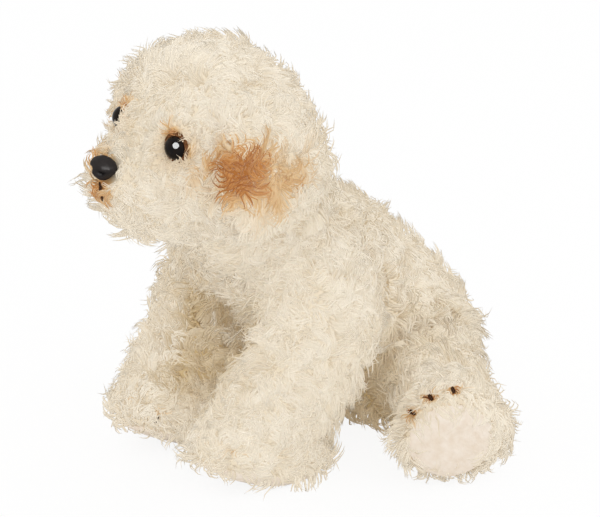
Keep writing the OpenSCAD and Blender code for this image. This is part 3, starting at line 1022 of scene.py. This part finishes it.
for side, outward in sides.items():
    close = near(headPoints, eyes[side], *face["eyeCombed"])
    nearSide = smoothStep((headPoints - eyes[side]) @ headAcross / face["nearEdge"] - face["nearFrom"])
    away = close * (face["eyeComb"] - face["nearComb"] * nearSide)
    headComb += unit(headPoints - eyes[side]) * away[:, None]
    temple = eyes[side] + headAcross * outward * head["templeOut"] - headAhead * head["templeBack"]
    headDepth += head["templeDepth"] * near(headPoints, temple, *head["templePatch"])
nape = rising(headNormals[:, 1], *head["napeFacing"]) * falling(headPoints[:, 2], *head["napeBelow"])
headDepth = blend(headDepth, head["napeDepth"], nape)
headLength *= 1.0 + head["napeLength"] * nape
flaps = np.concatenate([part for side in sides for part in looseParts(f"{side}_ear")])
headThick *= 1.0 - coveredBy(headPoints, headNormals, flaps, ear["reach"], ear["bedFacing"])
headDepth = blend(headDepth, ear["bedDepth"], nearness(headPoints, flaps, ear["reach"]))
shallow = np.maximum(falling(eyeAway, *face["eyeShallow"]), falling(noseAway, *face["noseShallow"]))
headDepth = blend(headDepth, face["shallowDepth"], shallow)
finishSkin(headSkin, headDepth, headThick, headLength,
           np.maximum(sprayedEars(headPoints, dye["headAhead"]), sprayedFace(headPoints)), headComb)
coverWithPile(headSkin, "head", head, ("head_cover", "head_stuffing"))
print("head covered")


# ears
def earFront(points):
    return rising((points - headMiddle) @ headAhead, 0.0, ear["frontEdge"])


def sunkEar(points, outward):
    return points - np.outer(ear["sink"] + ear["frontSink"] * earFront(points), outward)


for order, (side, earSkin) in enumerate(earSkins.items()):
    earPoints, earNormals = meshPoints(earSkin.data)
    outward = headAcross * sides[side]
    facing = earNormals @ outward
    front = earFront(earPoints)
    setPoints(earSkin.data, sunkEar(earPoints, outward))
    earComb = unit(earPoints - middleOf(f"{side}_ear")) * ear["rimComb"] + ear["dropComb"]
    earComb += np.outer(front, headAhead) * ear["frontComb"]
    earComb -= np.outer(1.0 - np.abs(facing), outward) * ear["edgeComb"]
    finishSkin(earSkin, ear["depth"] * rising(facing, *ear["depthFacing"]), rising(facing, *ear["pileFacing"]),
               blend(1.0, ear["frontLength"], front), sprayedEars(earPoints), earComb)
    coverWithPile(earSkin, f"{side}_ear", ear, (f"{side}_ear",), 10 * order)
print("ears covered")

# legs
frontPad = {"steepest": -0.62, "highest": 0.022, "thickness": 0.0035, "rimPasses": 8, "footTop": 0.04,
            "footLength": 0.55, "bareFacing": (-0.8, 0.2), "uncombed": (0.045, 0.03), "shallow": (-0.45, 0.4)}
hindPad = {"voxel": 0.0014, "passes": 3, "bare": 0.0205, "rim": 0.006, "combed": (0.042, 0.012),
           "comb": 6.0, "deeper": (0.03, 0.03), "shallow": (0.022, 0.02), "low": (0.022, 0.014), "lowShorter": 0.45}
pads = []


def footUnderside(name, skin, setup):
    shell = shellOf(skin.data)
    shell.normal_update()
    spare = [f for f in shell.faces
             if f.normal.z > setup["steepest"] or f.calc_center_median().z > setup["highest"]]
    bmesh.ops.delete(shell, geom=spare, context="FACES")
    keepLargest(shell)
    for _ in range(setup["rimPasses"]):
        relax(shell, [v for v in shell.verts if v.is_boundary])
    pad = newPiece(name, written(shell, bpy.data.meshes.new(name)), velour)
    thicken = pad.modifiers.new("thicken", "SOLIDIFY")
    thicken.thickness = setup["thickness"]
    thicken.offset = -1.0
    applied(pad)
    return pad


for order, (end, side) in enumerate(legs):
    body = f"{end}_{side}_leg"
    skin = legSkins[end, side]
    points, normals = meshPoints(skin.data)
    height = points[:, 2]
    seam = nearness(points, torsoPoints, cover["seamReach"])
    length = 1.0 + cover["seamLength"][end] * seam
    depth = cover["depth"] - cover["seamRise"][end] * seam
    for claw in claws:
        clear = rising(distances(points, claw), *leg["clawClear"])
        depth = np.minimum(depth, leg["clawDepth"][end] + clear)
        length = np.minimum(length, leg["clawLength"][end] + clear)
    comb = np.tile((0.0, 0.0, -1.0), (len(points), 1))
    padName, soleName = f"{end}{side.title()}Pad", f"{end}_{side}_sole"
    if end == "front":
        bare = rising(normals[:, 2], *frontPad["bareFacing"])
        foot = height < frontPad["footTop"]
        length = np.where(foot, np.minimum(length, blend(frontPad["footLength"], 1.0, bare)), length)
        thick = np.where(foot, bare, 1.0)
        comb *= 1.0 - falling(height, *frontPad["uncombed"])[:, None]
        pad = footUnderside(padName, skin, frontPad)
        depth = blend(leg["padDepth"], depth, rising(normals[:, 2], *frontPad["shallow"]))
    else:
        sole = middleOf(soleName)
        away = distances(points, sole)
        thick = rising(away, hindPad["bare"], hindPad["rim"])
        close = falling(away, *hindPad["combed"])[:, None]
        comb = comb * (1.0 - close) - unit(points - sole) * close * hindPad["comb"]
        pad = outerSkin(padName, [soleName], hindPad, velour)
        depth += leg["hindDepth"] * rising(away, *hindPad["deeper"])
        depth = blend(leg["padDepth"], depth, rising(away, *hindPad["shallow"]))
        length *= 1.0 - hindPad["lowShorter"] * falling(height, *hindPad["low"])
    pads.append((pad, body, soleName))
    # painted shade on the inner sides of the legs and in the crease beside the torso
    inward = rising(-normals[:, 0] * np.sign(points[:, 0]), *leg["innerFacing"])
    inward *= falling(height, *leg["innerBelow"])
    inward *= rising(height, *leg["innerAbove"])
    paintedShade = np.maximum(cover["seamShade"][end] * seam, leg["innerShade"] * inward)
    finishSkin(skin, depth, thick, length, sprayedClaws(points, end), comb, paintedShade)
    coverWithPile(skin, body, leg, (body + "_cover", body + "_stuffing"), 10 * order)
print("legs covered")

# velour soles, blown up as cloth
padPuff = {"pressure": 4.0, "frames": 20, "cap": 0.003, "lowest": 0.0005}
puffUp([row[0] for row in pads], padPuff)
for pad, body, node in pads:
    subdivided(pad)
    dressPiece(pad, body, (node,))
print("soles puffed")

# tail
finishSkin(tailSkin, tail["depth"], length=tail["length"])
coverWithPile(tailSkin, "tail", tail, ("tail_cover", "tail_stuffing"))
print("hairs:", hairCount[0])

# nose
nose = {
    "voxel": 0.0007, "passes": 3,
    "nostrilAside": 0.0056, "nostrilUp": -0.0012, "nostrilSlant": 0.35,
    "nostrilDepth": 0.0028, "nostrilWidth": 0.0025, "nostrilHeight": 0.0014,
    "grooveDepth": 0.0008, "grooveWidth": 0.0008, "grooveTop": (0.001, 0.004),
    "taper": 0.5, "taperTop": (0.003, 0.011),  # narrower below
    "wings": 0.1, "wingsUp": 0.002, "wingsHeight": 0.004,
    "flatTop": 0.25, "flatFrom": 0.0035,
}


def hump(values, width):
    return np.exp(-(values / width) ** 2)


nosePiece = outerSkin("nosePiece", ["nose"], nose, satinNose)
nosePoints, noseNormals = meshPoints(nosePiece.data)
fromNose = nosePoints - noseMiddle
aside, rise = fromNose @ headAcross, fromNose @ headUp
facing = np.clip(noseNormals @ headAhead, 0.0, 1.0)
dent = nose["grooveDepth"] * hump(aside, nose["grooveWidth"]) * falling(rise, *nose["grooveTop"])
for outward in sides.values():
    across = aside - outward * nose["nostrilAside"]
    above = rise - nose["nostrilUp"] - nose["nostrilSlant"] * np.abs(across)
    dent += nose["nostrilDepth"] * hump(across, nose["nostrilWidth"]) * hump(above, nose["nostrilHeight"])
narrow = (nose["taper"] * falling(rise, *nose["taperTop"])
          - nose["wings"] * hump(rise - nose["wingsUp"], nose["wingsHeight"]))
nosePoints = nosePoints - np.outer(aside * narrow, headAcross) - headAhead * (dent * facing)[:, None]
nosePoints = nosePoints - np.outer(np.maximum(rise - nose["flatFrom"], 0.0) * nose["flatTop"], headUp)
setPoints(nosePiece.data, nosePoints)
# painted shade in the nostrils and the groove, deepest where the dents are deepest
setAttribute(nosePiece.data, "pitShade", dent / nose["nostrilDepth"])
dressPiece(nosePiece, "head", ("nose",))
print("nose shaped")

# stitches: twisted threads along each straight stitch of the solids
stitch = {  # how far it sinks towards the skin, and the shares of the solid's length and girth
    ("front", "left"): (0.0105, 0.5, 1.0),
    ("front", "right"): (0.0078, 0.5, 1.0),
    ("hind", "left"): (0.003, 0.6, 1.35),
    ("hind", "right"): (0.003, 0.6, 1.35),
    "mouth": (0.002, 0.9, 1.0),
}


def sewStitches(name, node, body, slotName, material, skin=None, sink=0.0, share=1.0, girth=1.0):
    ends, radii = [], []
    for part in looseParts(node):
        centre = part.mean(axis=0)
        along, across = np.linalg.svd(part - centre, full_matrices=False)[2][:2]
        reach = (part - centre) @ along * share
        radii += [np.abs((part - centre) @ across).max() * girth] * 2
        if skin is not None:
            inside = meshPoints(skin.data)[0]
            centre = centre + unit(inside[np.argmin(distances(inside, centre))] - centre) * sink
        ends += [centre + along * reach.min(), centre + along * reach.max()]
    lines = bpy.data.meshes.new(name + "Line")
    lines.from_pydata(ends, [(first, first + 1) for first in range(0, len(ends), 2)], [])
    setAttribute(lines, "stitchRadius", np.array(radii))
    maker = linked(name + "Line", lines)
    mesh = grown(maker, threadTree, {**twist, "Material": material})
    bpy.data.objects.remove(maker)
    mesh.attributes.remove(mesh.attributes["stitchRadius"])
    mesh.name = name
    dressPiece(newPiece(name, mesh, material), body, (node,))


for end, side in legs:
    sewStitches(f"{end}{side.title()}ClawThread", f"{end}_{side}_claws", f"{end}_{side}_leg", "brown_thread",
                brownThread, legSkins[end, side], *stitch[end, side])
sewStitches("mouthThread", "mouth_stitch", "head", "brown_thread", brownThread, headSkin, *stitch["mouth"])
sewStitches("closingThread", "closing_seam", "torso", "cream_thread", creamThread)
print("stitches sewn")

# ear linings and the bean bag
lining = {"voxel": 0.0013, "passes": 3, "fill": 0.3}
for side in sides:
    liningPiece = outerSkin(f"{side}EarLining", [f"{side}_ear_lining"], lining, velour)
    setPoints(liningPiece.data, sunkEar(meshPoints(liningPiece.data)[0], headAcross * sides[side]))
    dressPiece(liningPiece, f"{side}_ear", (f"{side}_ear_lining",))
sack = {"voxel": 0.0035, "passes": 3, "creaseScale": 55.0, "creaseDepth": 0.0012, "fill": 0.6}
sackPiece = outerSkin("beanSack", ["bean_bag"], sack, canvas)
sackPoints, sackNormals = meshPoints(sackPiece.data)
creases = np.minimum(cloudy(sackPoints, sack["creaseScale"], 5.0), 0.0)
setPoints(sackPiece.data, sackPoints + sackNormals * (creases * sack["creaseDepth"])[:, None])
subdivided(sackPiece)
dressPiece(sackPiece, "torso", ("bean_bag",))

# pieces that stay as they are built
kept = {"nose_washer": whitePlastic}
for side in sides:
    kept[f"{side}_eye"] = glossEye
    kept[f"{side}_eye_rim"] = brownFelt
    kept[f"{side}_eye_washer"] = whitePlastic
for node, material in kept.items():
    for materialSlot in nodes[node].material_slots:
        materialSlot.material = material
print("hard pieces finished")
